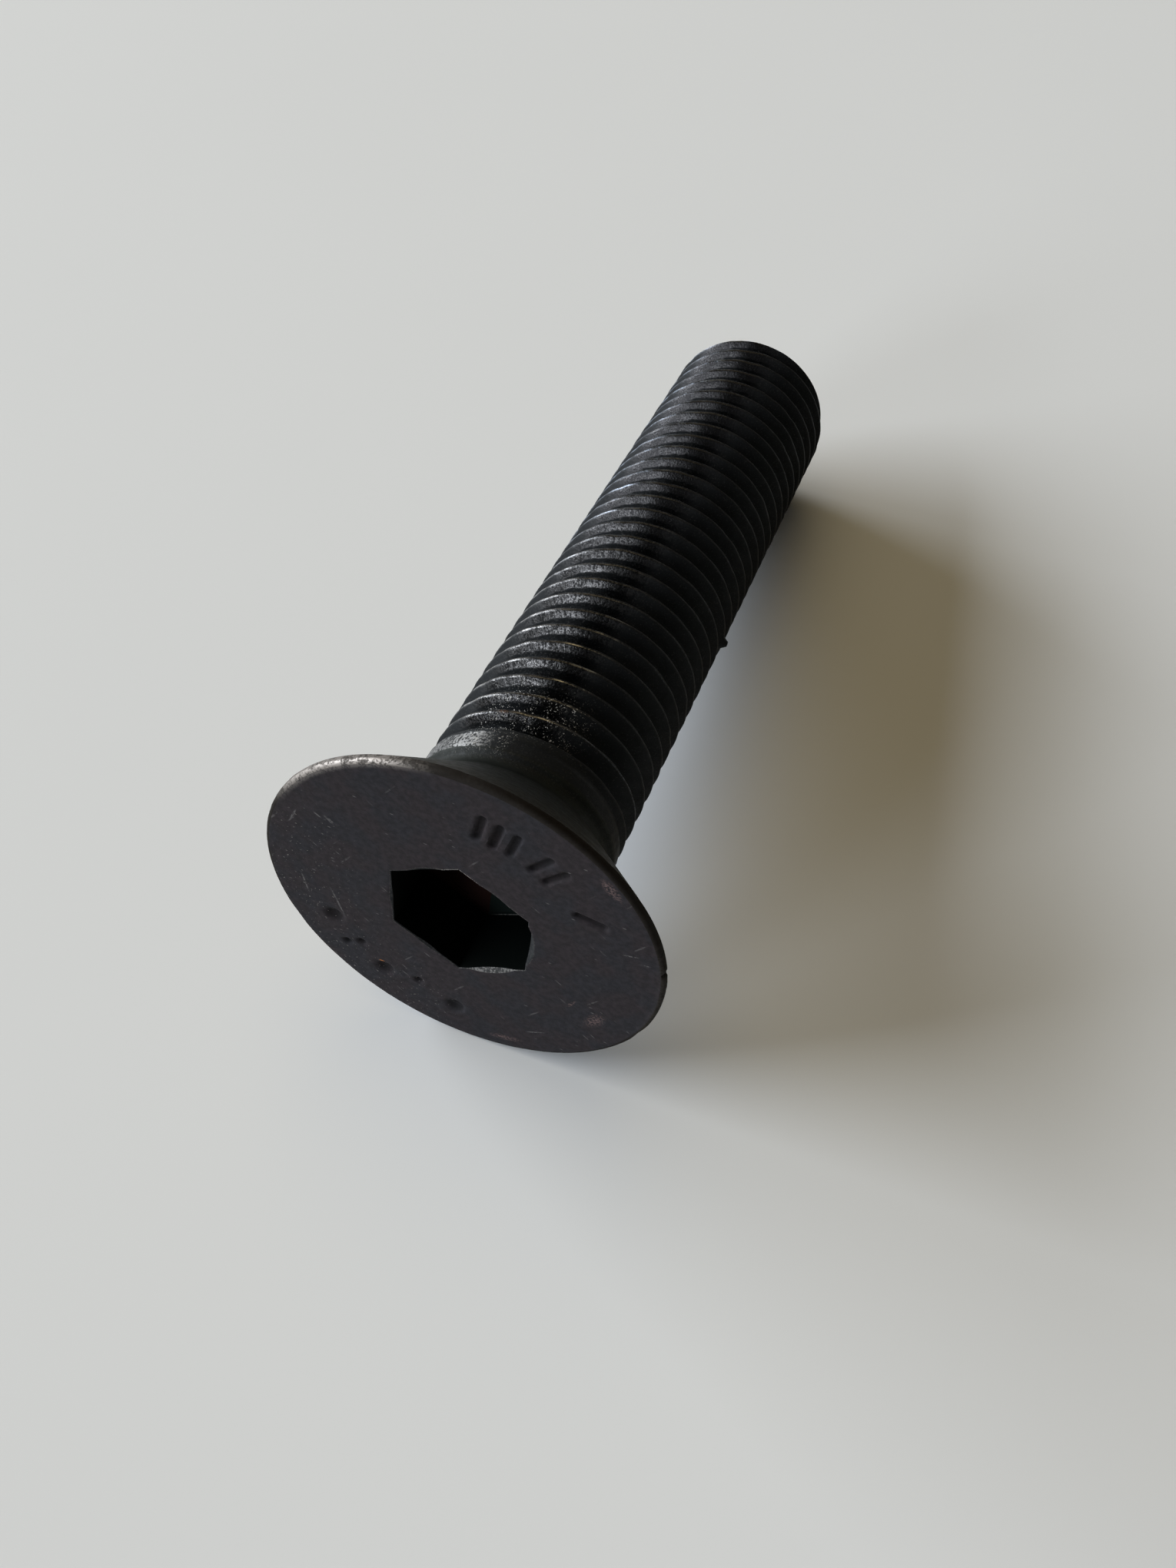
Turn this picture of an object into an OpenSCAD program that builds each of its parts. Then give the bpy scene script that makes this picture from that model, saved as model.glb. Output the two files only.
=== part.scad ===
// Blade bolt: a countersunk screw with a hexagon socket, M16 x 70, threaded to its head.
// It is turned and forged in one piece. It lies on the rim of its head and the end of its
// thread, with its axis in the YZ plane, the head towards -Y and the point towards +Y.
// Millimetres, +Z up, origin under the middle of the lying bolt, on what it lies on.

/* [Length] */
// Overall length of the bolt, from the flat face of the head to the point
length = 70; // [25:1:150]

/* [Head] */
// Diameter of the head over its rim
head_d = 29.6; // [26:0.1:36]
// Height of the cylindrical rim, from the flat face to the countersink
rim_land = 0.6; // [0.5:0.05:2]
// Radius of the rounded edge between the flat face and the rim
rim_edge = 0.3; // [0.1:0.05:0.4]
// Included angle of the countersink
seat_angle = 90; // [60:5:100]

/* [Hexagon socket] */
// Width across the flats of the socket
socket_af = 10; // [6:0.5:12]
// Depth of the flats, from the face of the head
socket_depth = 5.3; // [3:0.1:7]
// Depth of the shallow cone that the punch leaves at the bottom
socket_nose = 1.2; // [0.5:0.1:2]
// Width of the round chamfer at the mouth, beyond the middle of each flat
mouth_chamfer = 0.45; // [0.05:0.05:0.7]
// Turn of the hexagon about the axis, from a corner that points straight up
socket_turn = 2.4; // [-30:0.1:30]

/* [Shank] */
// Outer diameter of the M16 x 2 thread, over its crests
thread_d = 15.86; // [14:0.02:18]
// How far the plain neck under the head lies below the crests of the thread
neck_relief = 0.33; // [0.05:0.01:1]
// Length of the plain neck, from the end of the countersink to the foot of the thread
neck_length = 0.8; // [0.5:0.1:6]
// Radius of the fillet where the countersink meets the neck
neck_fillet = 1; // [0.2:0.1:1.2]
// Height of the 45 degree chamfer at the point, a little deeper than the thread
point_chamfer = 1.3; // [0.5:0.1:2.5]

/* [Hidden] */
$fn = 128;
STEEL_BLACK = [0.17, 0.16, 0.17];
// Overlap that lets a cutting tool run past the surface it cuts
THROUGH = 0.5;

// Radii
head_r = head_d / 2;
thread_r = thread_d / 2;
neck_r = thread_r - neck_relief;
flat_r = socket_af / 2;
socket_r = flat_r / cos(30);
mouth_r = flat_r + mouth_chamfer;

// Distances along the axis, from the face of the head
seat_slope = tan(seat_angle / 2);
seat_end = rim_land + (head_r - neck_r) / seat_slope;
neck_end = seat_end + neck_length;
thread_start = neck_end + neck_relief;
thread_end = length - point_chamfer;

// Fillet between the countersink and the neck: how far it reaches along each of them
fillet_turn = seat_angle / 2;
fillet_reach = neck_fillet * tan(fillet_turn / 2);

// The bolt touches what it lies on at the back of the rim and at the last full crest
lying_tilt = atan((head_r - thread_r) / (thread_end - rim_land));
face_height = head_r * cos(lying_tilt) + rim_land * sin(lying_tilt);
lowest_y = -(head_r - rim_edge) * sin(lying_tilt) - rim_edge * (1 - cos(lying_tilt));
highest_y = length * cos(lying_tilt) + (thread_r - point_chamfer) * sin(lying_tilt);

// Half of the lengthwise section, radius along X and distance from the face along Y
module half_section() {
    polygon([
        [0, 0],
        [head_r - rim_edge, 0],
        [head_r, rim_edge],
        [head_r, rim_land],
        [neck_r, seat_end],
        [neck_r, neck_end],
        [thread_r, thread_start],
        [thread_r, thread_end],
        [thread_r - point_chamfer, length],
        [0, length],
    ]);
    translate([head_r - rim_edge, rim_edge])
        circle(r = rim_edge);
    neck_fillet_section();
}

// What the fillet adds between the countersink and the neck
module neck_fillet_section() {
    centre = [neck_r + neck_fillet, seat_end + fillet_reach];
    on_seat = [
        neck_r + fillet_reach * sin(fillet_turn),
        seat_end - fillet_reach * cos(fillet_turn),
    ];
    difference() {
        polygon([[neck_r, seat_end], on_seat, centre, [neck_r, centre.y]]);
        translate(centre)
            circle(r = neck_fillet);
    }
}

// Everything that turns about the axis: head, countersink, neck, thread and point
module turned_body() {
    rotate_extrude()
        half_section();
}

// Hexagon socket, with the punch's cone at the bottom and the chamfer at the mouth
module socket() {
    rotate([0, 0, 30 + socket_turn])
        translate([0, 0, -THROUGH])
            cylinder(r = socket_r, h = socket_depth + THROUGH, $fn = 6);
    translate([0, 0, socket_depth])
        cylinder(r1 = flat_r, r2 = 0, h = socket_nose);
    translate([0, 0, -THROUGH])
        cylinder(r1 = mouth_r + THROUGH, r2 = 0, h = mouth_r + THROUGH);
}

// Lays a bolt that stands on its head down on its rim and the end of its thread
module lying() {
    translate([0, -(lowest_y + highest_y) / 2, face_height])
        rotate([-90 - lying_tilt, 0, 0])
            children();
}

module bolt() {
    color(STEEL_BLACK)
        lying()
            difference() {
                turned_body();
                socket();
            }
}

bolt();
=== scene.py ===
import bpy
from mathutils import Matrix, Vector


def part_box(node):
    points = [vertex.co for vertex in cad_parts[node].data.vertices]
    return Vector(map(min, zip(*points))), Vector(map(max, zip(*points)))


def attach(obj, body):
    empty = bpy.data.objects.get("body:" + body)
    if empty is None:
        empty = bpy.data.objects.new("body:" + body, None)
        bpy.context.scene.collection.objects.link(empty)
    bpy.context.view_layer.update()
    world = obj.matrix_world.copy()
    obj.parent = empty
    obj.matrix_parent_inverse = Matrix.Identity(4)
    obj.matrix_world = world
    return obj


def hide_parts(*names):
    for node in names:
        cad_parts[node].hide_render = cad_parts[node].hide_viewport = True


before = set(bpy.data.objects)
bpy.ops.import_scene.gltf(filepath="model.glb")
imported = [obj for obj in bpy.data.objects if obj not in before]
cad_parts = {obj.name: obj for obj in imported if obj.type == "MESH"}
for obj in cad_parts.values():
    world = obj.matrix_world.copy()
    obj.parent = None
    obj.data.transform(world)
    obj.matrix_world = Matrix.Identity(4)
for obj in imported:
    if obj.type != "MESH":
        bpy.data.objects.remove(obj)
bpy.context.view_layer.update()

import math

import bpy
import numpy as np
from mathutils import Matrix, Vector, noise

# Lengths are in millimetres until the mesh is made. A point on the bolt is given by its turn in
# degrees about the axis, from up towards +X, its radius, and how far along the bolt it is from
# the face of the head. Left and right are as the camera sees them: left is a negative turn.
MM = 0.001

# The bolt, as in the CAD model
LENGTH = 70.0
HEAD_R = 14.8
RIM_LAND = 0.6
RIM_EDGE = 0.3
THREAD_R = 7.93
NECK_R = 7.6
SEAT_END = RIM_LAND + HEAD_R - NECK_R
NECK_END = SEAT_END + 0.8
NECK_FILLET = 1.0
POINT_CHAMFER = 1.3
THREAD_END = LENGTH - POINT_CHAMFER
FLAT_R = 5.0
SOCKET_DEPTH = 5.3
SOCKET_NOSE = 1.2
SOCKET_TURN = 2.4

# The chamfer on each wall of the socket: its outer radius, and its depth as a share of its width
MOUTH = ((5.2, 0.8), (5.58, 1.45), (5.44, 0.42), (5.16, 0.9), (5.2, 0.5), (5.28, 0.6))
MOUTH_LEAST = 0.07  # the least width of the chamfer, at the corners
MOUTH_MARGIN = 0.01  # how much further down it reaches than the slope says
FACE_WEAR = 0.02  # how deep the worn face lies, so that the lips round its marks stay in the box
FACE_WAVES = 0.012  # how uneven it is, for each unit of noise
RIM_WEAR = 0.006  # how deep the worn rim lies
RIM_KNOCKS = 0.10  # how deep its knocks are, for each unit of noise
RIM_FINE = 0.03  # the same for its finer unevenness

# The thread
PITCH = 2.0
FIRST_CREST = 12.9  # how far along the crest is where its turn is 0
THREAD_FORM = (  # distance from the middle of the crest, depth below it
    (0.0, 0.07, 0.13, 0.19, 0.5, 0.8, 0.9, 1.0),
    (0.0, 0.008, 0.04, 0.115, 0.65, 1.14, 1.21, 1.227),
)
RUN_IN = (10.0, 11.7)  # where the groove starts, and where it is at full depth
KNOCK_WAVES = 0.8  # how many waves a millimetre the noise of the knocks on the crests has
KNOCKS_FROM = 0.12  # the noise above which there is a knock
CREST_KNOCKS = 0.14  # how deep the knocks are, for each unit of noise beyond that
KNOCKED = (0.35, 0.05)  # how far from the middle of the crest they end, and are at full depth
WANDER = 0.07  # how far the rolled thread strays along the bolt
BURR = (96.9, 35.44)  # a burr on a crest: its turn, and how far along it is
BURR_HEIGHT = 0.48
BURR_SIZE = (0.65, 0.1)  # how far from its middle it ends, and is at full height

# Marks punched in the face: a tally of bars, and round dots, whose half length is 0. Each has its
# turn, radius, half length, half width, depth and the angle of the bar.
PUNCHED = (
    (9.8, 10.9, 0.95, 0.42, 0.30, 4),
    (16.0, 10.8, 1.0, 0.42, 0.32, 0),
    (22.4, 10.9, 0.9, 0.40, 0.28, -4),
    (33.4, 10.9, 0.9, 0.42, 0.30, 8),
    (40.2, 10.8, 0.95, 0.40, 0.28, 5),
    (61.7, 10.7, 0.9, 0.42, 0.32, 38),
    (-114.7, 11.1, 0, 1.0, 0.32, 0),
    (-128.9, 12.0, 0, 0.48, 0.28, 0),
    (-130.6, 10.7, 0, 0.48, 0.28, 0),
    (-145.6, 11.4, 0, 1.0, 0.32, 0),
    (-158.8, 10.1, 0, 0.5, 0.28, 0),
    (-176.1, 11.2, 0, 1.0, 0.34, 0),
)
LIP = 0.2  # how high the metal stands round a mark, as a share of its depth
LIP_AT, LIP_WIDTH = 1.3, 0.5  # where it is highest, and half its width, in half widths of the mark
NICK = (83.3, 0.35, 0.28)  # a nick in the rim: its turn, half width and depth

# The parts of the surface. The floor is the bottom of the socket, and the last is plain oxide.
PARTS = ("floor", "socket", "mouth", "face", "rim", "land", "seat", "thread", "point")

# How finely the surface is divided
COLUMNS = 120
FINE = 4  # columns of the face for each column of the shank
SHARP = 38  # the angle in degrees from which an edge is shaded sharp


# ---------------------------------------------------------------- where the bolt lies

tilt = math.atan((HEAD_R - THREAD_R) / (THREAD_END - RIM_LAND))
low_corner = Vector(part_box("bolt")[0]) / MM
side = Vector((1, 0, 0))
axis = Vector((0, math.cos(tilt), -math.sin(tilt)))
up = Vector((0, math.sin(tilt), math.cos(tilt)))
face_y = low_corner.y + (HEAD_R - RIM_EDGE) * math.sin(tilt) + RIM_EDGE * (1 - math.cos(tilt))
face_z = low_corner.z + HEAD_R * math.cos(tilt) + RIM_LAND * math.sin(tilt)
face_centre = Vector((0, face_y, face_z))


# ---------------------------------------------------------------- the shape of the bolt


def smooth(low, high, value):
    """A soft step from 0 where the value is low to 1 where it is high."""
    t = np.clip((np.asarray(value, float) - low) / (high - low), 0, 1)
    return t * t * (3 - 2 * t)


def turns(count):
    """The turns of a ring of points, which starts underneath, in line with a corner of the socket."""
    return SOCKET_TURN - 180 + np.arange(count) * 360.0 / count


def unevenness(turn, radius, waves, seed=0.0):
    """A smooth noise of about -1 to 1 round the bolt, with that many waves a millimetre."""
    angle = np.radians(np.atleast_1d(turn))
    radius = np.broadcast_to(radius, angle.shape)
    spots = np.stack([radius * np.sin(angle), radius * np.cos(angle)], axis=-1) * waves
    return np.array([noise.noise(Vector((x, y, seed))) for x, y in spots])


def flat_radius(turn):
    """Radius of the hexagon at this turn."""
    from_flat = (np.asarray(turn) - SOCKET_TURN) % 60 - 30
    return FLAT_R / np.cos(np.radians(from_flat))


def wall_at(turn):
    """The number of the wall of the socket at this turn."""
    return ((np.asarray(turn) - SOCKET_TURN) // 60).astype(int) % 6


def mouth_radius(turn):
    """Radius of the mouth, whose chamfer is different on each wall."""
    chamfer = np.array(MOUTH)[wall_at(turn), 0]
    return np.maximum(chamfer, flat_radius(turn) + MOUTH_LEAST)


def mouth_depth(turn):
    """How far down each wall of the socket the chamfer reaches."""
    slope = np.array(MOUTH)[wall_at(turn), 1]
    return slope * (mouth_radius(turn) - flat_radius(turn)) + MOUTH_MARGIN


def face_dent(turn, radius):
    """How far the marks take the face below its plane."""
    angle = np.radians(turn)
    x, y = radius * np.sin(angle), radius * np.cos(angle)
    depth = np.zeros_like(radius)
    for mark_turn, mark_radius, half_length, half_width, mark_depth, lean in PUNCHED:
        at, leaned = math.radians(mark_turn), math.radians(mark_turn + lean)
        dx, dy = x - mark_radius * math.sin(at), y - mark_radius * math.cos(at)
        lengthwise = dx * math.sin(leaned) + dy * math.cos(leaned)
        across = dx * math.cos(leaned) - dy * math.sin(leaned)
        beyond = np.maximum(np.abs(lengthwise) - half_length, 0)
        away = np.hypot(beyond, across) / half_width
        bowl = np.clip(1 - away, 0, 1)
        lip = np.clip(1 - np.abs(away - LIP_AT) / LIP_WIDTH, 0, 1)
        depth += mark_depth * (smooth(0, 0.85, bowl) - LIP * lip)
    return depth


def face_along(turn, radius):
    """How far along the bolt a point of the face is."""
    worn = FACE_WEAR + FACE_WAVES * unevenness(turn, radius, 0.45)
    return np.maximum(worn + face_dent(turn, radius), 0)


def rim_dent(turn):
    """How far the worn rim lies inside its circle: small knocks, and one nick."""
    knocks = np.clip(unevenness(turn, HEAD_R, 0.55, 7.0) - 0.15, 0, 1) * RIM_KNOCKS
    fine = np.clip(unevenness(turn, HEAD_R, 2.2, 3.0), 0, 1) * RIM_FINE
    nick = np.clip(1 - np.abs((turn - NICK[0]) * math.radians(HEAD_R)) / NICK[1], 0, 1) * NICK[2]
    return RIM_WEAR + knocks + fine + nick


def from_crest(turn, along):
    """How far along the bolt a point is from the middle of the nearest crest."""
    return (along - FIRST_CREST - PITCH * turn / 360 + PITCH / 2) % PITCH - PITCH / 2


def thread_depth(turn, along):
    """How far the thread's surface lies below its crests."""
    depth = np.interp(np.abs(from_crest(turn, along)), *THREAD_FORM)
    return depth * smooth(*RUN_IN, along)


def crest_wear(turn, along):
    """How far knocks have taken the crests down, along one column of points."""
    angle = math.radians(turn)
    x, y = THREAD_R * math.sin(angle), THREAD_R * math.cos(angle)
    x, y = x * KNOCK_WAVES, y * KNOCK_WAVES
    waves = [noise.noise(Vector((x, y, z * KNOCK_WAVES))) for z in along]
    knocks = np.clip(np.array(waves) - KNOCKS_FROM, 0, 1) * CREST_KNOCKS
    return knocks * smooth(*KNOCKED, np.abs(from_crest(turn, along)))


def wander(turn, along):
    """How far the thread strays along the bolt, along one column of points."""
    angle = math.radians(turn)
    around, lengthwise = 4, 0.5  # how the noise is stretched
    x, y = around * math.sin(angle), around * math.cos(angle)
    waves = [noise.noise(Vector((x, y, z * lengthwise))) for z in along]
    fade_out = smooth(LENGTH - 1.6, LENGTH - 3, along)
    return np.array(waves) * WANDER * smooth(10, 12, along) * fade_out


def burr(turn, along):
    """How far the burr stands out."""
    away = np.hypot((turn - BURR[0]) * math.radians(THREAD_R), along - BURR[1])
    return BURR_HEIGHT * smooth(*BURR_SIZE, away)


def shank_radius(turn, along):
    chamfer = THREAD_R - np.maximum(along - THREAD_END, 0)
    thread = THREAD_R - thread_depth(turn, along) - crest_wear(turn, along) + burr(turn, along)
    return np.minimum(thread, chamfer + burr(turn, along))


# ---------------------------------------------------------------- the mesh of the bolt


class Skin:
    """One closed surface, built ring by ring from the bottom of the socket out to the point."""

    def __init__(self):
        self.turn, self.radius, self.along = [], [], []
        self.faces, self.parts = [], []
        self.part = PARTS[0]  # the part of the bolt that new faces belong to

    def add(self, turn, radius, along):
        """Adds points and returns their numbers."""
        turn, radius, along = np.broadcast_arrays(turn, radius, along)
        first = len(self.turn)
        self.turn.extend(turn.ravel().tolist())
        self.radius.extend(radius.ravel().tolist())
        self.along.extend(along.ravel().tolist())
        return list(range(first, len(self.turn)))

    def face(self, *points):
        self.faces.append(points)
        self.parts.append(PARTS.index(self.part))

    def join(self, a, b):
        """Joins two rings of as many points, and returns the second."""
        for i in range(len(a)):
            k = (i + 1) % len(a)
            self.face(a[i], a[k], b[k], b[i])
        return b

    def join_fine(self, coarse, fine, outward=True):
        """Joins a ring to one with FINE times its points, which follows it if outward."""
        half = FINE // 2
        for i in range(len(coarse)):
            a, b = coarse[i], coarse[(i + 1) % len(coarse)]
            row = [fine[(FINE * i + k) % len(fine)] for k in range(FINE + 1)]
            triangles = [(a, row[k + 1], row[k]) for k in range(half)]
            triangles.append((a, b, row[half]))
            triangles += [(b, row[k + 1], row[k]) for k in range(half, FINE)]
            for triangle in triangles:
                self.face(*(triangle if outward else triangle[::-1]))

    def fan(self, tip, ring, outward=True):
        """Joins a point in the middle to the ring round it."""
        for i in range(len(ring)):
            a, b = ring[i], ring[(i + 1) % len(ring)]
            self.face(tip, *((a, b) if outward else (b, a)))


def add_socket(skin):
    """The socket, up to the ring round its mouth, which is returned."""
    coarse, fine = turns(COLUMNS), turns(COLUMNS * FINE)
    tip = skin.add(0, 0, SOCKET_DEPTH + SOCKET_NOSE)[0]
    last = None
    for share in (0.25, 0.5, 0.75, 0.96):
        ring = skin.add(coarse, FLAT_R * share, SOCKET_DEPTH + SOCKET_NOSE * (1 - share))
        if last is None:
            skin.fan(tip, ring)
        else:
            skin.join(last, ring)
        last = ring
    corner = 0.25  # how far the worn edge round the bottom reaches
    bottom_edge = (
        (corner, SOCKET_DEPTH),
        (0.4 * corner, SOCKET_DEPTH - 0.15 * corner),
        (0, SOCKET_DEPTH - corner),
    )
    for inset, depth in bottom_edge:
        last = skin.join(last, skin.add(coarse, flat_radius(coarse) - inset, depth))
    skin.part = "socket"
    for depth in (4, 3, 2, 1.5):
        last = skin.join(last, skin.add(coarse, flat_radius(coarse), depth))
    ring = skin.add(fine, flat_radius(fine), 1.4)
    skin.join_fine(last, ring)
    last = skin.join(ring, skin.add(fine, flat_radius(fine), mouth_depth(fine)))
    skin.part = "mouth"
    mouth = skin.add(fine, mouth_radius(fine), face_along(fine, mouth_radius(fine)))
    return skin.join(last, mouth)


def add_face_and_rim(skin, last):
    """From the ring round the mouth to the last one of the rim's back edge, which is returned."""
    fine = turns(COLUMNS * FINE)
    edge_r = HEAD_R - RIM_EDGE
    inner = mouth_radius(fine)
    skin.part = "face"
    # The rings are closest together where the marks are
    shares = np.concatenate([
        np.linspace(0, 0.42, 14)[1:],
        np.linspace(0.42, 0.82, 34)[1:],
        np.linspace(0.82, 1, 12)[1:],
    ])
    for share in shares:
        radius = inner * (1 - share) + edge_r * share
        last = skin.join(last, skin.add(fine, radius, face_along(fine, radius)))
    skin.part = "rim"
    outer = HEAD_R - rim_dent(fine)
    start = face_along(fine, np.full(len(fine), edge_r))
    for angle in (18, 36, 54, 72, 90):
        turned = math.radians(angle)
        radius = edge_r + (outer - edge_r) * math.sin(turned)
        along = start + (RIM_EDGE - start) * (1 - math.cos(turned))
        last = skin.join(last, skin.add(fine, radius, along))
    skin.part = "land"
    back = 0.1  # radius of the rounding between the land and the countersink
    back_edge = (
        (0, RIM_LAND - 0.4 * back),
        (0.3 * back, RIM_LAND + 0.3 * back),
        (1.1 * back, RIM_LAND + 1.1 * back),
    )
    for inset, along in back_edge:
        radius = np.minimum(outer, HEAD_R - inset) - 0.3 * inset
        last = skin.join(last, skin.add(fine, radius, along))
    return last


def add_seat_and_neck(skin, last):
    """The countersink and the neck, up to where the thread starts, whose ring is returned."""
    coarse = turns(COLUMNS)
    skin.part = "seat"
    reach = NECK_FILLET * math.tan(math.radians(22.5))
    seat_to = HEAD_R - NECK_R - reach * math.sin(math.radians(45))
    for k, drop in enumerate(np.linspace(0.5, seat_to, 12)):
        ring = skin.add(coarse, HEAD_R - drop, RIM_LAND + drop)
        if k == 0:
            skin.join_fine(ring, last, outward=False)
        else:
            skin.join(last, ring)
        last = ring
    for angle in (36, 27, 18, 9, 0):
        turned = math.radians(angle)
        radius = NECK_R + NECK_FILLET * (1 - math.cos(turned))
        along = SEAT_END + reach - NECK_FILLET * math.sin(turned)
        last = skin.join(last, skin.add(coarse, radius, along))
    skin.part = "thread"
    relief = THREAD_R - NECK_R
    shoulder = (
        (NECK_R, NECK_END - 0.05),
        (NECK_R + 0.06, NECK_END + 0.1),
        (THREAD_R - 0.08, NECK_END + relief - 0.08),
        (THREAD_R - 0.01, NECK_END + relief + 0.06),
    )
    for radius, along in shoulder:
        last = skin.join(last, skin.add(coarse, radius, along))
    return last


def add_point(skin):
    """The end of the point. Returns its outer ring."""
    skin.part = "point"
    coarse = turns(COLUMNS)
    end_r = THREAD_R - POINT_CHAMFER
    outer = last = skin.add(coarse, end_r, LENGTH - 0.06)
    slightly_hollow = (
        (end_r - 0.08, LENGTH),
        (5.6, LENGTH),
        (5, LENGTH - 0.03),
        (3.4, LENGTH - 0.1),
        (1.7, LENGTH - 0.14),
    )
    for radius, along in slightly_hollow:
        last = skin.join(last, skin.add(coarse, radius, along))
    tip = skin.add(0, 0, LENGTH - 0.15)[0]
    skin.fan(tip, last, outward=False)
    return outer


def add_thread(skin, first_ring, last_ring):
    """The thread, whose rows of points follow its helix between two plain rings."""
    turn = turns(COLUMNS)
    spots = np.array(THREAD_FORM[0][1:])
    row = np.concatenate([-spots[::-1], spots[:-1]])
    per_turn = len(row)
    skin.part = "thread"
    gap = 0.07  # the least distance from a plain ring to the first point of a column
    start = skin.along[first_ring[0]] + gap
    end = skin.along[last_ring[0]] - gap
    number = np.arange(-20 * per_turn, 60 * per_turn)  # more rows than fit on the shank
    columns = []
    for i in range(COLUMNS):
        crest = FIRST_CREST + PITCH * turn[i] / 360
        along = crest + PITCH * (number // per_turn) + row[number % per_turn]
        kept = (along > start) & (along < end)
        along = along[kept]
        points = skin.add(turn[i], shank_radius(turn[i], along), along + wander(turn[i], along))
        columns.append(dict(zip(number[kept].tolist(), points)))
    for i in range(COLUMNS):
        k = (i + 1) % COLUMNS
        left, right = columns[i], columns[k]
        if k == 0:  # the next column is a turn further on
            right = {number - per_turn: point for number, point in right.items()}
        low, high = max(min(left), min(right)), min(max(left), max(right))
        below_left = [left[n] for n in range(min(left), low)]
        below_right = [right[n] for n in range(min(right), low)]
        skin.face(
            first_ring[i], first_ring[k], *below_right, right[low], left[low], *below_left[::-1]
        )
        for n in range(low, high):
            skin.face(left[n], right[n], right[n + 1], left[n + 1])
        above_left = [left[n] for n in range(high + 1, max(left) + 1)]
        above_right = [right[n] for n in range(high + 1, max(right) + 1)]
        skin.face(
            left[high], right[high], *above_right, last_ring[k], last_ring[i], *above_left[::-1]
        )


def add_attribute(mesh, name, kind, domain, values):
    mesh.attributes.new(name, kind, domain)
    field = "vector" if kind == "FLOAT_VECTOR" else "value"
    mesh.attributes[name].data.foreach_set(field, values.ravel())


def add_coordinates(mesh, turn, radius, along, parts, place):
    """What the material reads: each face's part, each point's place in the bolt's own frame and its
    distance from the edge that wears, which is the crest of the thread or the mouth of the socket,
    and its turn, way along and radius, kept on the corners of the faces so that they don't blend
    at the seam."""
    add_attribute(mesh, "place", "FLOAT_VECTOR", "POINT", place)

    corner_point = np.zeros(len(mesh.loops), int)
    mesh.loops.foreach_get("vertex_index", corner_point)
    first = np.zeros(len(mesh.polygons), int)
    mesh.polygons.foreach_get("loop_start", first)
    corner_turn = turn[corner_point]
    highest = np.maximum.reduceat(corner_turn, first)
    size = np.diff(np.append(first, len(corner_turn)))
    past_seam = np.repeat(highest, size) - corner_turn > 180
    corner_turn = np.where(past_seam, corner_turn + 360, corner_turn)
    unrolled = np.stack([corner_turn, along[corner_point], radius[corner_point]], axis=1)
    add_attribute(mesh, "unrolled", "FLOAT_VECTOR", "CORNER", unrolled)

    edge = np.abs(from_crest(turn, along))
    edge[along > LENGTH - 0.1] = PITCH / 2
    head = along < NECK_END
    edge[head] = np.abs(radius[head] - mouth_radius(turn[head]))
    add_attribute(mesh, "edge", "FLOAT", "POINT", edge)
    add_attribute(mesh, "part", "FLOAT", "FACE", np.array(parts, float))


def build_bolt():
    skin = Skin()
    mouth = add_socket(skin)
    rim = add_face_and_rim(skin, mouth)
    neck = add_seat_and_neck(skin, rim)
    point = add_point(skin)
    add_thread(skin, neck, point)
    turn, radius, along = np.array(skin.turn), np.array(skin.radius), np.array(skin.along)
    angle = np.radians(turn)
    place = np.stack([radius * np.sin(angle), radius * np.cos(angle), along], axis=1)
    basis = np.array([side, up, axis])
    points = (place @ basis + np.array(face_centre)) * MM
    mesh = bpy.data.meshes.new("threaded_bolt")
    mesh.from_pydata(points.tolist(), [], skin.faces)
    mesh.validate()
    mesh.polygons.foreach_set("use_smooth", [True] * len(mesh.polygons))
    mesh.set_sharp_from_angle(angle=math.radians(SHARP))
    add_coordinates(mesh, turn, radius, along, skin.parts, place)
    bolt = bpy.data.objects.new("threaded_bolt", mesh)
    bpy.context.collection.objects.link(bolt)
    return bolt


# ---------------------------------------------------------------- nodes

UNCHANGED = (1.0, 1.0, 1.0)  # what a colour is multiplied by where it stays as it is


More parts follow.
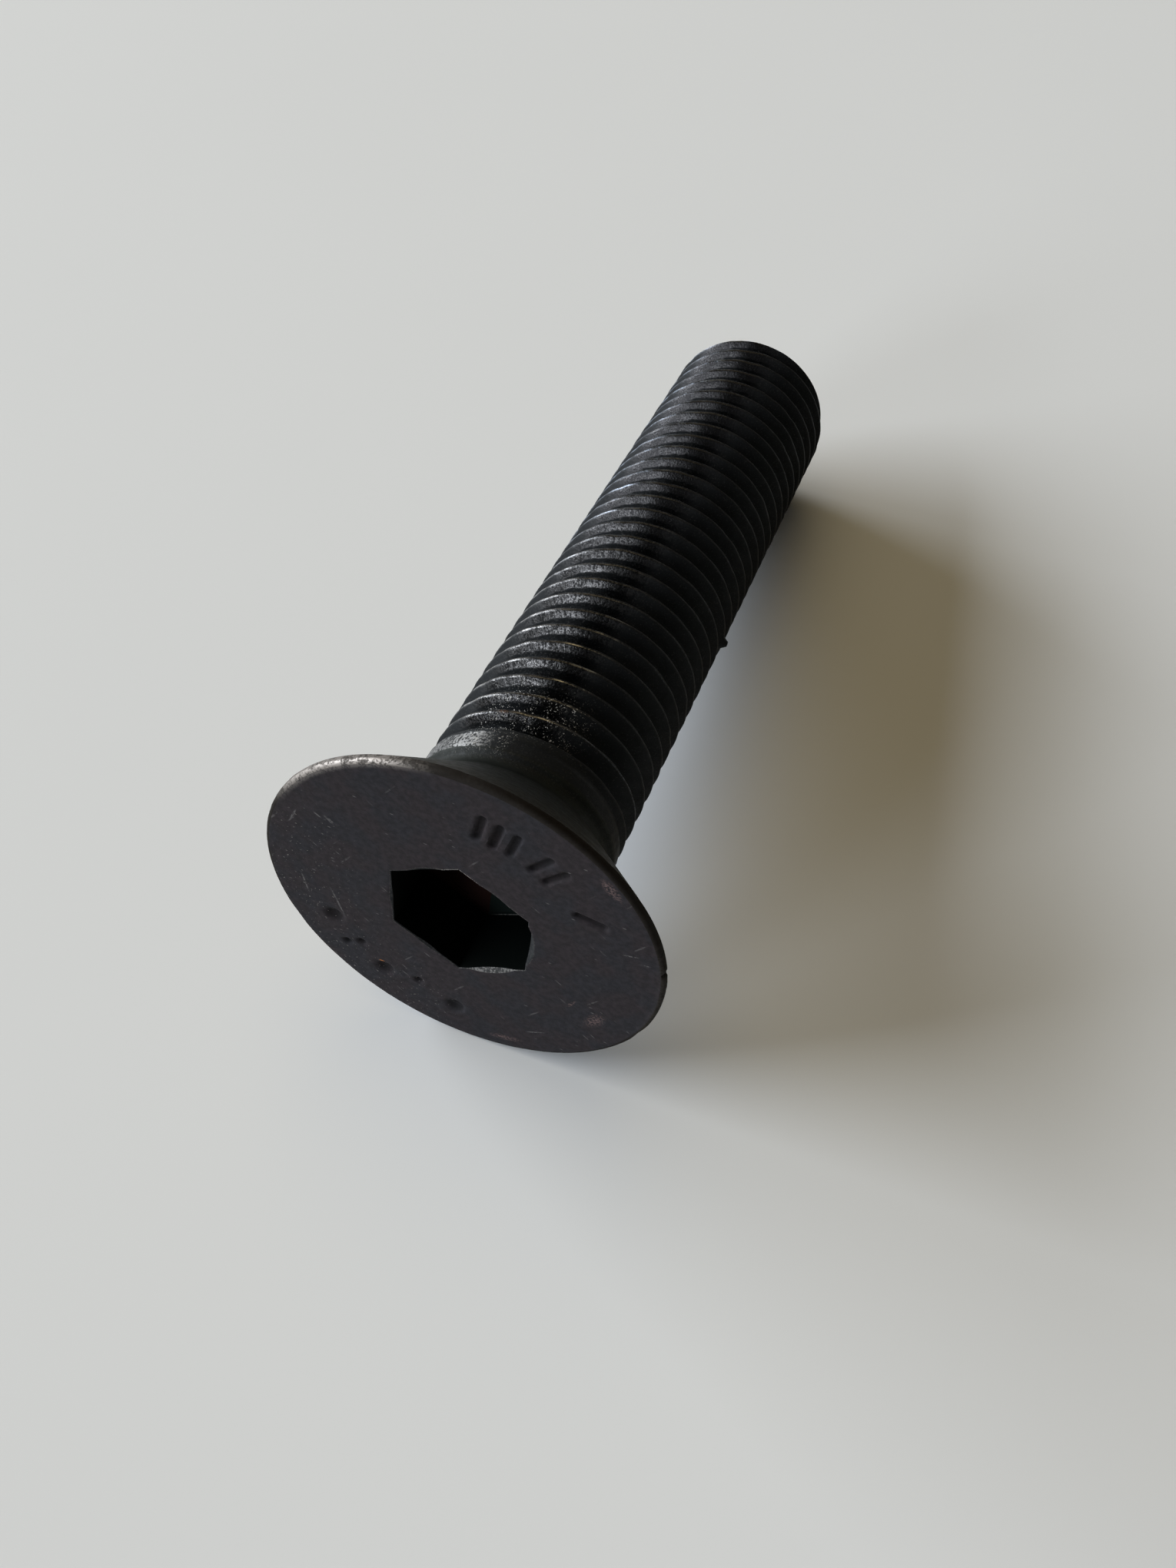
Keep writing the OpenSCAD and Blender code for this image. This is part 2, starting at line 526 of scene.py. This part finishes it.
class Nodes:
    """The nodes of one material. A value is a number, a colour or another node's socket."""

    def __init__(self, name):
        self.material = bpy.data.materials.new(name)
        self.material.use_nodes = True
        self.tree = self.material.node_tree
        self.shader = self.tree.nodes["Principled BSDF"]

    def put(self, socket, value):
        if isinstance(value, bpy.types.NodeSocket):
            self.tree.links.new(value, socket)
        elif isinstance(value, tuple) and socket.type == "RGBA":
            socket.default_value = (*value, 1)
        else:
            socket.default_value = value

    def new(self, kind, *values, **settings):
        node = self.tree.nodes.new("ShaderNode" + kind)
        for name, value in settings.items():
            setattr(node, name, value)
        for socket, value in zip(node.inputs, values):
            if value is not None:
                self.put(socket, value)
        return node

    def attribute(self, name, output="Vector"):
        return self.new("Attribute", attribute_name=name).outputs[output]

    def maths(self, operation, *values):
        """The values joined by one operation, from left to right."""
        result = values[0]
        for value in values[1:]:
            result = self.new("Math", result, value, operation=operation).outputs[0]
        return result

    def product(self, *values):
        return self.maths("MULTIPLY", *values)

    def add(self, *values):
        return self.maths("ADD", *values)

    def most(self, *values):
        return self.maths("MAXIMUM", *values)

    def scaled(self, a, b):
        """One vector or colour times another."""
        return self.new("VectorMath", a, b, operation="MULTIPLY").outputs[0]

    def is_number(self, value, number):
        return self.new("Math", value, number, 0.3, operation="COMPARE").outputs[0]

    def step(self, value, low, high, out_low=0.0, out_high=1.0):
        """Goes smoothly from out_low to out_high as value goes from low to high."""
        node = self.new("MapRange", value, low, high, out_low, out_high)
        node.interpolation_type = "SMOOTHSTEP"
        return node.outputs[0]

    def band(self, value, start, end, soft):
        """1 from start to end, and 0 outside, with soft edges."""
        rise = self.step(value, start - soft, start + soft)
        return self.product(rise, self.step(value, end - soft, end + soft, 1.0, 0.0))

    def blend(self, share, a, b):
        """A number between a and b."""
        return self.new("Mix", share, None, a, b, data_type="FLOAT").outputs[0]

    def mix(self, share, a, b):
        """A colour between a and b."""
        node = self.new("Mix", data_type="RGBA")
        for index, value in ((0, share), (6, a), (7, b)):
            self.put(node.inputs[index], value)
        return node.outputs[2]

    def tone(self, colour, share, factor):
        """The colour, times the factor where the share is 1."""
        return self.scaled(colour, self.mix(share, UNCHANGED, factor))

    def noise(self, where, scale, detail=2.0, rough=0.5, stretch=None):
        """A noise of that many waves a millimetre, finer along the longer sides of stretch."""
        if stretch:
            where = self.scaled(where, stretch)
        node = self.new("TexNoise")
        inputs = {"Vector": where, "Scale": scale, "Detail": detail, "Roughness": rough}
        for name, value in inputs.items():
            self.put(node.inputs[name], value)
        return node.outputs["Fac"]

    def rotated(self, where, angle):
        node = self.new("VectorRotate", where, rotation_type="Z_AXIS")
        self.put(node.inputs["Angle"], angle)
        return node.outputs[0]

    def dashes(self, where, angle, waves, length, density):
        """Thin dashes all over: their mask, from their angle, how many lie in a millimetre across
        them, how many times as long as wide their cells are, and the share of them that shows."""
        cell = self.new("TexVoronoi")
        rotated = self.rotated(where, math.radians(angle))
        self.put(cell.inputs["Vector"], self.scaled(rotated, (waves, waves / length, waves)))
        self.put(cell.inputs["Scale"], 1.0)
        chance = self.new("SeparateColor", cell.outputs["Color"]).outputs[0]
        shown = self.step(chance, 1 - density, 1.02 - density)
        return self.product(shown, self.step(cell.outputs["Distance"], 0.22, 0.10))

    def blot(self, where, turn, radius, outward, along_ring, soft):
        """A patch on the face, at that turn and radius, with its half sizes and soft edges."""
        angle = math.radians(turn)
        centre = (radius * math.sin(angle), radius * math.cos(angle), 0)
        offset = self.new("VectorMath", where, centre, operation="SUBTRACT").outputs[0]
        scaled = self.scaled(self.rotated(offset, angle), (1 / along_ring, 1 / outward, 0))
        away = self.new("VectorMath", scaled, operation="LENGTH").outputs["Value"]
        return self.step(away, 1.0 + soft, 1.0 - soft)


# ---------------------------------------------------------------- black oxide

# Colours, or what they are multiplied by. A pair is the two ends that a pattern goes between.
OXIDE = ((0.0060, 0.0070, 0.0078), (0.0082, 0.0094, 0.0104))
FACE = ((0.0155, 0.0140, 0.0155), (0.0215, 0.0195, 0.0215))
FACE_TINT = ((1.5, 0.95, 0.90), (0.75, 0.95, 1.15))
FACE_SAND = ((0.78, 0.79, 0.79), (1.22, 1.21, 1.21))
# Darker in the punched marks: dirt, and painted shade
MARK_DIRT_AND_SHADE = (0.5, 0.48, 0.48)
SEAT = ((0.016, 0.013, 0.006), (0.0085, 0.0100, 0.0080))
SEAT_RINGS = ((0.72, 0.72, 0.74), (1.28, 1.28, 1.26))
# Painted shade on the right of the countersink, and painted light on the right of the neck
SEAT_RIGHT_PAINTED_SHADE = (0.36, 0.40, 0.37)
NECK_RIGHT_PAINTED_LIGHT = (1.2, 1.2, 1.2)
RIM = ((0.006, 0.0045, 0.0035), (0.013, 0.010, 0.007))
# The socket's walls are black oxide, made a near-black metal below so that they reflect almost nothing:
# partly painted shade
SOCKET_OXIDE_AND_SHADE = (0.0030, 0.0040, 0.0036)
SOCKET_BOTTOM = ((0.018, 0.0090, 0.0075), (0.0095, 0.0135, 0.012))
# Painted shade on the top of the thread and beside it, and painted light on its right
FOOT_TOP_PAINTED_SHADE = (0.5, 0.5, 0.5)
FLANK_TOP_PAINTED_SHADE = (0.74, 0.75, 0.75)
FLANK_BESIDE_TOP_PAINTED_SHADE = (0.72, 0.72, 0.72)
FLANK_RIGHT_PAINTED_LIGHT = (1.3, 1.4, 1.4)
# The burnish is placed where the sheen shows: partly painted sheen
BURNISHED_SHEEN = ((0.0052, 0.0052, 0.0052), (0.046, 0.0445, 0.044))
BURNISHED_SHEEN_FAR = (0.0205, 0.0198, 0.0205)
BURNISHED_LOW = (0.0045, 0.0048, 0.0050)

STEEL = (0.31, 0.298, 0.285)
STEEL_GOLDEN = (0.44, 0.405, 0.32)
STEEL_COOL = (0.27, 0.31, 0.37)
STEEL_HEAD = (0.34, 0.305, 0.275)
STEEL_FOOT = (0.48, 0.475, 0.465)
FLECK = (0.48, 0.46, 0.42)
THREAD_RUST = (0.13, 0.055, 0.028)
SCRATCH = (0.105, 0.098, 0.096)
SCUFF = (0.095, 0.065, 0.062)
MARK = (0.090, 0.085, 0.083)
FACE_RUST = (0.42, 0.15, 0.04)
SPECK = (0.13, 0.12, 0.11)

# Scratches all over the face: angle, how many a millimetre, length, share that shows, strength
SCRATCHES = (
    (38, 2.2, 9, 0.16, 0.55),
    (-50, 3.0, 6, 0.10, 0.7),
    (95, 3.5, 3, 0.08, 0.8),
)
# Single places on the face: turn, radius, half size outward and along the ring, softness
SCUFFS = (
    (122, 12.0, 0.45, 0.9, 0.6),
    (50, 13.9, 0.35, 0.9, 0.5),
    (122, 9.9, 0.12, 0.5, 0.5),
    (166, 13.5, 0.25, 1.1, 0.6),
)
LONG_MARKS = (
    (-54.5, 11.2, 0.38, 0.10, 0.4),
    (-56.5, 11.9, 0.3, 0.07, 0.4),
    (-64.5, 13.2, 0.07, 0.7, 0.4),
    (77, 12.6, 0.5, 0.06, 0.5),
    (80, 13.5, 0.35, 0.06, 0.5),
    (-98, 12.2, 0.07, 0.9, 0.5),
    (-106, 10.0, 0.07, 1.3, 0.5),
    (152, 12.2, 0.06, 0.7, 0.5),
)
RUST_SPOT = (-142.5, 10.9, 0.16, 0.2, 0.4)

# How far the bump stands out, in millimetres, for each unit of its pattern
GRAIN_BUMP = 0.012
STREAK_BUMP = 0.022
RINGS_BUMP = 0.02


class BoltNodes(Nodes):
    """The nodes of the bolt's material, with the places and patterns that its functions share. A
    place is a mask from its turn in degrees and how far along the bolt it is in millimetres."""

    def __init__(self, name):
        super().__init__(name)
        self.place = self.attribute("place")
        self.from_edge = self.attribute("edge", "Fac")
        self.unrolled = self.attribute("unrolled")
        self.turn, self.along, self.radius = self.new("SeparateXYZ", self.unrolled).outputs
        part = self.attribute("part", "Fac")
        self.on = {name: self.is_number(part, index) for index, name in enumerate(PARTS[:-1])}

        # Patterns, from coarse to fine, and three that follow the way the metal was worked
        self.cloud = self.noise(self.place, 0.3, 3)
        self.mottle = self.noise(self.place, 1.6, 4, 0.65)
        self.grain = self.noise(self.place, 5.5, 2, 0.6)
        self.fine = self.noise(self.place, 9, 3, 0.75)
        self.rings = self.noise(self.unrolled, 1.0, 3, 0.7, stretch=(0.012, 3.5, 0.0))
        self.run = self.noise(self.unrolled, 1.0, 2, 0.6, stretch=(0.14, 0.45, 0.0))
        drawn = self.noise(self.unrolled, 1.0, 3, 0.7, stretch=(0.6, 1.0, 0.5))
        self.streak = self.add(
            self.product(drawn, 0.3), self.product(self.grain, 0.4), self.product(self.fine, 0.3)
        )

        # Places. The top of the thread, and left of it, has a burnish, which is placed where its sheen
        # shows and so is
        #  partly painted sheen, the upper halves of its flanks are rubbed, and its first crests are
        #  worn to a golden steel on top.
        thread = self.on["thread"]
        self.inside = self.most(self.on["floor"], self.on["socket"])
        self.plain = self.most(self.on["seat"], self.product(thread, self.step(self.along, 9.3, 9.05)))
        self.far = self.step(self.along, 26, 46)
        self.burnish_and_sheen = self.product(
            thread, self.band(self.turn, -44, 14, 8), self.step(self.along, 11.2, 11.8)
        )
        ragged = self.add(self.from_edge, self.product(self.streak, 0.3), self.product(self.run, 0.15))
        self.rubbed_flank = self.step(ragged, 0.72, 0.65)
        self.golden_top = self.product(
            self.band(self.turn, -6, 18, 5), self.band(self.along, 11, 25, 2)
        )


def face_colour(n):
    """Purple grey, darker in the punched marks, which is dirt and painted shade."""
    sand = n.noise(n.place, 2.2, 2, 0.6)
    purple = n.mix(n.step(n.mottle, 0.3, 0.7), *FACE)
    tint = n.mix(n.step(n.cloud, 0.42, 0.62), *FACE_TINT)
    purple = n.mix(0.22, purple, n.scaled(purple, tint))
    purple = n.scaled(purple, n.mix(n.step(sand, 0.3, 0.7), *FACE_SAND))
    return n.tone(purple, n.step(n.along, 0.07, 0.22), MARK_DIRT_AND_SHADE)


def seat_colour(n):
    """Olive, turned in rings, with painted shade that makes it darker on the right, and painted light
    that makes the neck lighter there.
    """
    olive = n.mix(n.step(n.along, 0.9, 4.5), *SEAT)
    olive = n.scaled(olive, n.mix(n.step(n.rings, 0.3, 0.7), *SEAT_RINGS))
    neck = n.product(n.step(n.along, 7.0, 8.2), n.step(n.turn, 5, 30))
    right = n.mix(neck, SEAT_RIGHT_PAINTED_SHADE, NECK_RIGHT_PAINTED_LIGHT)
    # Painted shade on the right, and painted light on the right of the neck
    return n.tone(olive, n.step(n.turn, -38, -8), right)


def thread_colour(n, colour):
    """Darker along its top, which is painted shade, lighter on its right, which is painted light, and
    with a scratched burnish left of that, which is partly painted sheen.
    """
    foot_top_shade = n.product(n.band(n.along, 8.3, 11.0, 0.4), n.band(n.turn, -10, 20, 8))
    flank = n.product(n.on["thread"], n.step(n.along, 11.0, 11.8))
    # Painted shade along the top and beside it, painted light on the right
    colour = n.tone(colour, foot_top_shade, FOOT_TOP_PAINTED_SHADE)
    colour = n.tone(colour, n.product(flank, n.band(n.turn, 2, 32, 8)), FLANK_BESIDE_TOP_PAINTED_SHADE)
    colour = n.tone(colour, n.product(flank, n.band(n.turn, 40, 85, 9)), FLANK_RIGHT_PAINTED_LIGHT)
    # The burnish, placed where the sheen shows: partly painted sheen
    scratched = n.mix(n.step(n.streak, 0.43, 0.57), *BURNISHED_SHEEN)
    scratched = n.mix(n.product(n.far, 0.7), scratched, BURNISHED_SHEEN_FAR)
    rubbed = n.mix(n.rubbed_flank, BURNISHED_LOW, scratched)
    colour = n.mix(n.burnish_and_sheen, colour, rubbed)
    return n.tone(colour, n.product(flank, n.band(n.turn, -5, 17, 5)), FLANK_TOP_PAINTED_SHADE)


def oxide_colour(n):
    """The colour of the whole bolt before it is worn, with the painted shade and light of the seat and
    thread.
    """
    colour = n.mix(n.step(n.cloud, 0.35, 0.65), *OXIDE)
    colour = n.mix(n.on["face"], colour, face_colour(n))
    colour = n.mix(n.plain, colour, seat_colour(n))
    colour = n.mix(n.most(n.on["land"], n.on["rim"]), colour, n.mix(n.mottle, *RIM))
    rusty_to_green = n.step(n.add(n.turn, n.product(n.mottle, 30)), 48, 80)
    bottom = n.mix(rusty_to_green, *SOCKET_BOTTOM)
    colour = n.mix(n.inside, colour, n.mix(n.on["floor"], SOCKET_OXIDE_AND_SHADE, bottom))
    return thread_colour(n, colour)


def rim_wear_and_highlight(n):
    """Mostly at the top left, where the light falls: wear, and a painted highlight."""
    by_rim = n.product(n.on["face"], n.step(n.radius, 14.1, 14.5), 0.45)
    edge = n.most(n.on["rim"], by_rim, n.product(n.on["land"], 0.6))
    # Strongest at the top left, where the light falls: wear, and a painted highlight
    elsewhere = n.blend(n.band(n.turn, 75, 115, 8), 0.01, 0.05)
    worn = n.blend(n.band(n.turn, -56, -11, 9), elsewhere, 0.72)
    return n.product(edge, worn, n.step(n.add(n.mottle, n.grain), 0.8, 1.1, 0.25, 1.0))


def crest_wear_and_highlight(n):
    """Wide on the left, where it is wear and a painted highlight, thin and broken elsewhere, and
    clearest on the first crest.
    """
    near_crest = n.step(n.add(n.from_edge, n.product(n.fine, 0.30)), 0.30, 0.19)
    thin_crest = n.step(n.add(n.from_edge, n.product(n.fine, 0.14)), 0.17, 0.11)
    # Wider on the left, where the crests catch the light: wear, and a painted highlight
    left = n.band(n.turn, -66, -12, 12)
    first_crest = n.band(n.along, 12.7, 13.5, 0.3)
    return n.product(
        n.on["thread"],
        n.step(n.along, 11.6, 12.0),
        n.step(n.fine, 0.40, 0.52, 0.25, 1.0),
        n.most(
            n.product(near_crest, left, n.step(n.run, 0.40, 0.58, 0.11, 0.75)),
            n.product(
                thin_crest,
                n.blend(first_crest, n.blend(n.far, 0.15, 0.04), 0.45),
                n.step(n.grain, 0.42, 0.54, 0.25, 1.0),
            ),
            n.product(thin_crest, n.golden_top, n.step(n.run, 0.47, 0.56), 0.8),
        ),
    )


def worn_foot(n):
    """The plain band where the thread starts, at the top left."""
    spots = n.add(n.grain, n.product(n.step(n.turn, -22, 6), -0.22))
    further_left = n.product(n.band(n.turn, -70, -40, 8), 0.3)
    return n.product(
        n.on["thread"],
        n.band(n.add(n.along, n.product(n.mottle, 0.4)), 9.3, 10.75, 0.1),
        n.blend(n.band(n.turn, -37, -18, 8), further_left, 0.75),
        n.step(spots, 0.42, 0.55, 0.06, 1.0),
    )


def worn_mouth(n):
    """The chamfer at the mouth of the socket."""
    worn = n.most(n.band(n.turn, 124, 180, 6), n.band(n.turn, -12, 22, 5))
    chips = n.add(n.product(n.mottle, 0.4), n.product(n.grain, 0.4), n.product(n.fine, 0.4))
    return n.product(n.on["mouth"], n.step(chips, 0.54, 0.68, 0.15, 1.0), n.blend(worn, 0.06, 0.6))


def worn_mouth_line(n):
    """A thin line on the face round the mouth, which is clearest at the top."""
    elsewhere = n.step(n.fine, 0.46, 0.56, 0.0, 0.12)
    at_top = n.step(n.grain, 0.44, 0.54, 0.0, 0.8)
    chips = n.blend(n.band(n.turn, -14, 17, 2), elsewhere, at_top)
    line = n.step(n.add(n.from_edge, n.product(n.grain, 0.2)), 0.19, 0.12)
    return n.product(n.on["face"], line, chips)


def worn_floor_edge(n):
    """A light line along the bottom of one wall of the socket."""
    return n.product(
        n.on["floor"],
        n.step(n.along, 5.13, 5.08),
        n.band(n.turn, 106, 176, 5),
        n.step(n.grain, 0.4, 0.5, 0.2, 0.5),
    )


def steel_colour(n):
    """The steel under the oxide, where it is worn."""
    thread = n.on["thread"]
    steel = n.mix(n.product(n.golden_top, thread), STEEL, STEEL_GOLDEN)
    cool = n.product(thread, n.most(n.step(n.turn, 18, 30), n.far))
    steel = n.mix(cool, steel, STEEL_COOL)
    steel = n.mix(n.most(n.on["rim"], n.on["land"], n.on["face"]), steel, STEEL_HEAD)
    return n.mix(n.product(thread, n.step(n.along, 11.2, 10.8)), steel, STEEL_FOOT)


def fleck_mask(n):
    """Flecks where the oxide has chipped, most of them on top of the first turns."""
    on_foot = n.product(n.band(n.along, 9.0, 11.5, 0.5), n.step(n.turn, 2, -12))
    reached = n.most(n.band(n.along, 11.5, 16, 1.0), on_foot)
    chipped = n.product(n.band(n.turn, -30, 25, 12), reached, n.step(n.mottle, 0.42, 0.54))
    spots = n.step(n.noise(n.place, 7.0, 3, 0.75), 0.595, 0.635)
    return n.product(spots, n.blend(chipped, 0.04, 1.0))


def with_thread_chips(n, colour, flecks):
    """Adds the flecks, and one spot of rust on the first crest."""
    colour = n.mix(n.product(flecks, n.on["thread"]), colour, FLECK)
    rusted = n.product(
        n.band(n.turn, -19, -14, 2), n.band(n.along, 12.75, 13.1, 0.15), n.step(n.fine, 0.42, 0.54)
    )
    return n.mix(n.product(rusted, n.on["thread"]), colour, THREAD_RUST)


def with_face_marks(n, colour):
    """Adds the scratches, scuffs, rust and specks of the face."""
    face = n.on["face"]
    scratches = n.most(*(
        n.product(n.dashes(n.place, *scratch), strength) for *scratch, strength in SCRATCHES
    ))
    scuffs = n.most(*(n.blot(n.place, *scuff) for scuff in SCUFFS))
    marks = n.most(*(n.blot(n.place, *mark) for mark in LONG_MARKS))
    rust = n.blot(n.place, *RUST_SPOT)
    specks = n.product(
        n.step(n.noise(n.place, 4.0, 2, 0.6), 0.66, 0.70),
        n.band(n.turn, -175, -60, 20),
        n.step(n.radius, 6, 12),
    )
    colour = n.mix(n.product(face, scratches, n.step(n.mottle, 0.35, 0.6)), colour, SCRATCH)
    colour = n.mix(n.product(face, scuffs, n.step(n.grain, 0.42, 0.6)), colour, SCUFF)
    colour = n.mix(n.product(face, marks, n.step(n.grain, 0.35, 0.55)), colour, MARK)
    colour = n.mix(n.product(face, rust), colour, FACE_RUST)
    return n.mix(n.product(face, specks), colour, SPECK)


def roughness(n, wear_and_highlight):
    oxide = n.step(n.mottle, 0.3, 0.7, 0.5, 0.66)
    rough = n.blend(n.on["face"], oxide, n.step(n.mottle, 0.3, 0.7, 0.72, 0.9))
    rubbed = n.blend(n.rubbed_flank, 0.4, n.step(n.streak, 0.4, 0.6, 0.34, 0.16))
    rough = n.blend(n.burnish_and_sheen, rough, rubbed)
    rough = n.blend(n.most(n.on["rim"], n.on["land"], n.on["mouth"]), rough, 0.85)
    rough = n.blend(wear_and_highlight, rough, n.step(n.grain, 0.35, 0.6, 0.45, 0.3))
    return n.blend(n.inside, rough, 0.85)


def bump(n):
    """Grain all over, with streaks along the thread and rings on the countersink."""
    streaks = n.add(n.product(n.grain, GRAIN_BUMP), n.product(n.streak, STREAK_BUMP))
    turned = n.add(n.product(n.grain, GRAIN_BUMP), n.product(n.rings, n.plain, RINGS_BUMP))
    node = n.new("Bump")
    node.inputs["Distance"].default_value = MM
    n.put(node.inputs["Height"], n.blend(n.on["thread"], turned, streaks))
    return node.outputs["Normal"]


def black_steel():
    """Black oxide over steel, worn bright on the rim, the crests and the start of the thread, with
    painted highlights on the rim and crests, painted sheen on the upper flanks, and painted shade and
    light on the seat and thread.
    """
    n = BoltNodes("black_oxide_steel")
    # Wear, with painted highlights on the rim and crests
    wear_and_highlight = n.most(
        rim_wear_and_highlight(n), crest_wear_and_highlight(n), worn_foot(n), worn_mouth(n), worn_mouth_line(n), worn_floor_edge(n)
    )
    flecks = fleck_mask(n)
    colour = n.mix(wear_and_highlight, oxide_colour(n), steel_colour(n))
    colour = with_thread_chips(n, colour, flecks)
    colour = with_face_marks(n, colour)
    # Bare metal in the band of burnish, placed where the sheen shows: partly painted sheen
    bare = n.product(n.burnish_and_sheen, n.step(flecks, 0, 1, 1, 0))
    n.put(n.shader.inputs["Base Color"], colour)
    n.put(n.shader.inputs["Roughness"], roughness(n, wear_and_highlight))
    # Inside the socket the surface is a near-black metal, which reflects almost nothing: painted shade
    # in the socket
    n.put(n.shader.inputs["Metallic"], n.most(n.product(wear_and_highlight, 0.9), bare, n.inside))
    n.put(n.shader.inputs["Normal"], bump(n))
    n.shader.inputs["Specular IOR Level"].default_value = 0.12
    return n.material


bolt = build_bolt()
bolt.data.materials.append(black_steel())
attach(bolt, "root")
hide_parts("bolt")


# ---------------------------------------------------------------- floor, light and camera

FLOOR_SIZE = 6.0
PALE = ((0.690, 0.692, 0.682), (0.710, 0.712, 0.702))
DAYLIGHT = (0.86, 0.92, 1.0)
WARM = (1.0, 0.82, 0.49)
ROOM_LIGHT = 0.02
ROOM_SEEN = 0.16

# The camera of the photograph, a phone held above the head of the bolt
CAMERA_AT = (24.0909711, -71.57121344, 89.39956306)
CAMERA_FORWARD = (-0.21759192, 0.55205345, -0.80491661)
CAMERA_RIGHT = (0.93034153, 0.3666942, 0)
CAMERA_LENS = 29.016


def pale_table():
    """A plain pale board with a faint unevenness, and nearly no gloss."""
    n = Nodes("pale_table")
    where = n.new("TexCoord").outputs["Object"]
    cloud = n.noise(where, 14, 3)
    n.put(n.shader.inputs["Base Color"], n.mix(cloud, *PALE))
    n.put(n.shader.inputs["Roughness"], n.blend(cloud, 0.8, 0.9))
    n.shader.inputs["Specular IOR Level"].default_value = 0.05
    return n.material


def make_floor():
    half = FLOOR_SIZE / 2
    corners = [(-half, -half, 0), (half, -half, 0), (half, half, 0), (-half, half, 0)]
    mesh = bpy.data.meshes.new("floor")
    mesh.from_pydata(corners, [], [(0, 1, 2, 3)])
    floor = bpy.data.objects.new("floor", mesh)
    bpy.context.collection.objects.link(floor)
    mesh.materials.append(pale_table())


def area_light(name, azimuth, elevation, distance, size, power, colour, glint=False):
    """A rectangular lamp that faces the bolt. Azimuth is from +Y towards +X. A glint shows only in
    what reflects it."""
    a, e = math.radians(azimuth), math.radians(elevation)
    away = Vector((math.sin(a) * math.cos(e), math.cos(a) * math.cos(e), math.sin(e)))
    lamp = bpy.data.lights.new(name, "AREA")
    lamp.shape = "RECTANGLE"
    lamp.size, lamp.size_y = size
    lamp.energy = power
    lamp.color = colour
    holder = bpy.data.objects.new(name, lamp)
    bpy.context.collection.objects.link(holder)
    holder.location = away * distance
    holder.rotation_mode = "QUATERNION"
    holder.rotation_quaternion = away.to_track_quat("Z", "Y")
    holder.visible_diffuse = not glint


def make_world(strength, seen):
    """A dim room. The camera, metal and glass see it lighter, past the edge of the floor."""
    world = bpy.data.worlds.new("room")
    world.use_nodes = True
    tree = world.node_tree
    path = tree.nodes.new("ShaderNodeLightPath")
    seeing = path.outputs["Is Camera Ray"]
    for kind in ("Is Glossy Ray", "Is Transmission Ray"):
        either = tree.nodes.new("ShaderNodeMath")
        either.operation = "MAXIMUM"
        tree.links.new(seeing, either.inputs[0])
        tree.links.new(path.outputs[kind], either.inputs[1])
        seeing = either.outputs[0]
    choice = tree.nodes.new("ShaderNodeMix")
    choice.data_type = "FLOAT"
    tree.links.new(seeing, choice.inputs[0])
    choice.inputs[2].default_value = strength
    choice.inputs[3].default_value = seen
    tree.links.new(choice.outputs[0], tree.nodes["Background"].inputs["Strength"])
    tree.nodes["Background"].inputs["Color"].default_value = (1, 1, 1, 1)
    bpy.context.scene.world = world


def make_camera():
    data = bpy.data.cameras.new("camera")
    data.lens = CAMERA_LENS
    data.sensor_width = 36
    data.clip_start, data.clip_end = 0.005, 20
    camera = bpy.data.objects.new("camera", data)
    bpy.context.collection.objects.link(camera)
    forward = Vector(CAMERA_FORWARD).normalized()
    right = Vector(CAMERA_RIGHT).normalized()
    above = right.cross(forward)
    turned = Matrix((right, above, -forward)).transposed()
    camera.matrix_world = Matrix.Translation(Vector(CAMERA_AT) * MM) @ turned.to_4x4()
    bpy.context.scene.camera = camera


make_floor()
area_light("window", -107, 22, 6, (3.675, 3), 500, DAYLIGHT)
area_light("window_end", -76, 16, 6, (2.325, 1.9), 256, DAYLIGHT)
area_light("far_window", -153, 13, 4, (1.25, 1.125), 59, DAYLIGHT)
area_light("far_window_glint", -148, 22, 4, (0.825, 2.375), 53, DAYLIGHT, glint=True)
area_light("ceiling", -50, 70, 3.75, (3.75, 3.75), 41, WARM)
make_world(ROOM_LIGHT, ROOM_SEEN)
make_camera()

scene = bpy.context.scene
scene.view_settings.view_transform = "Standard"
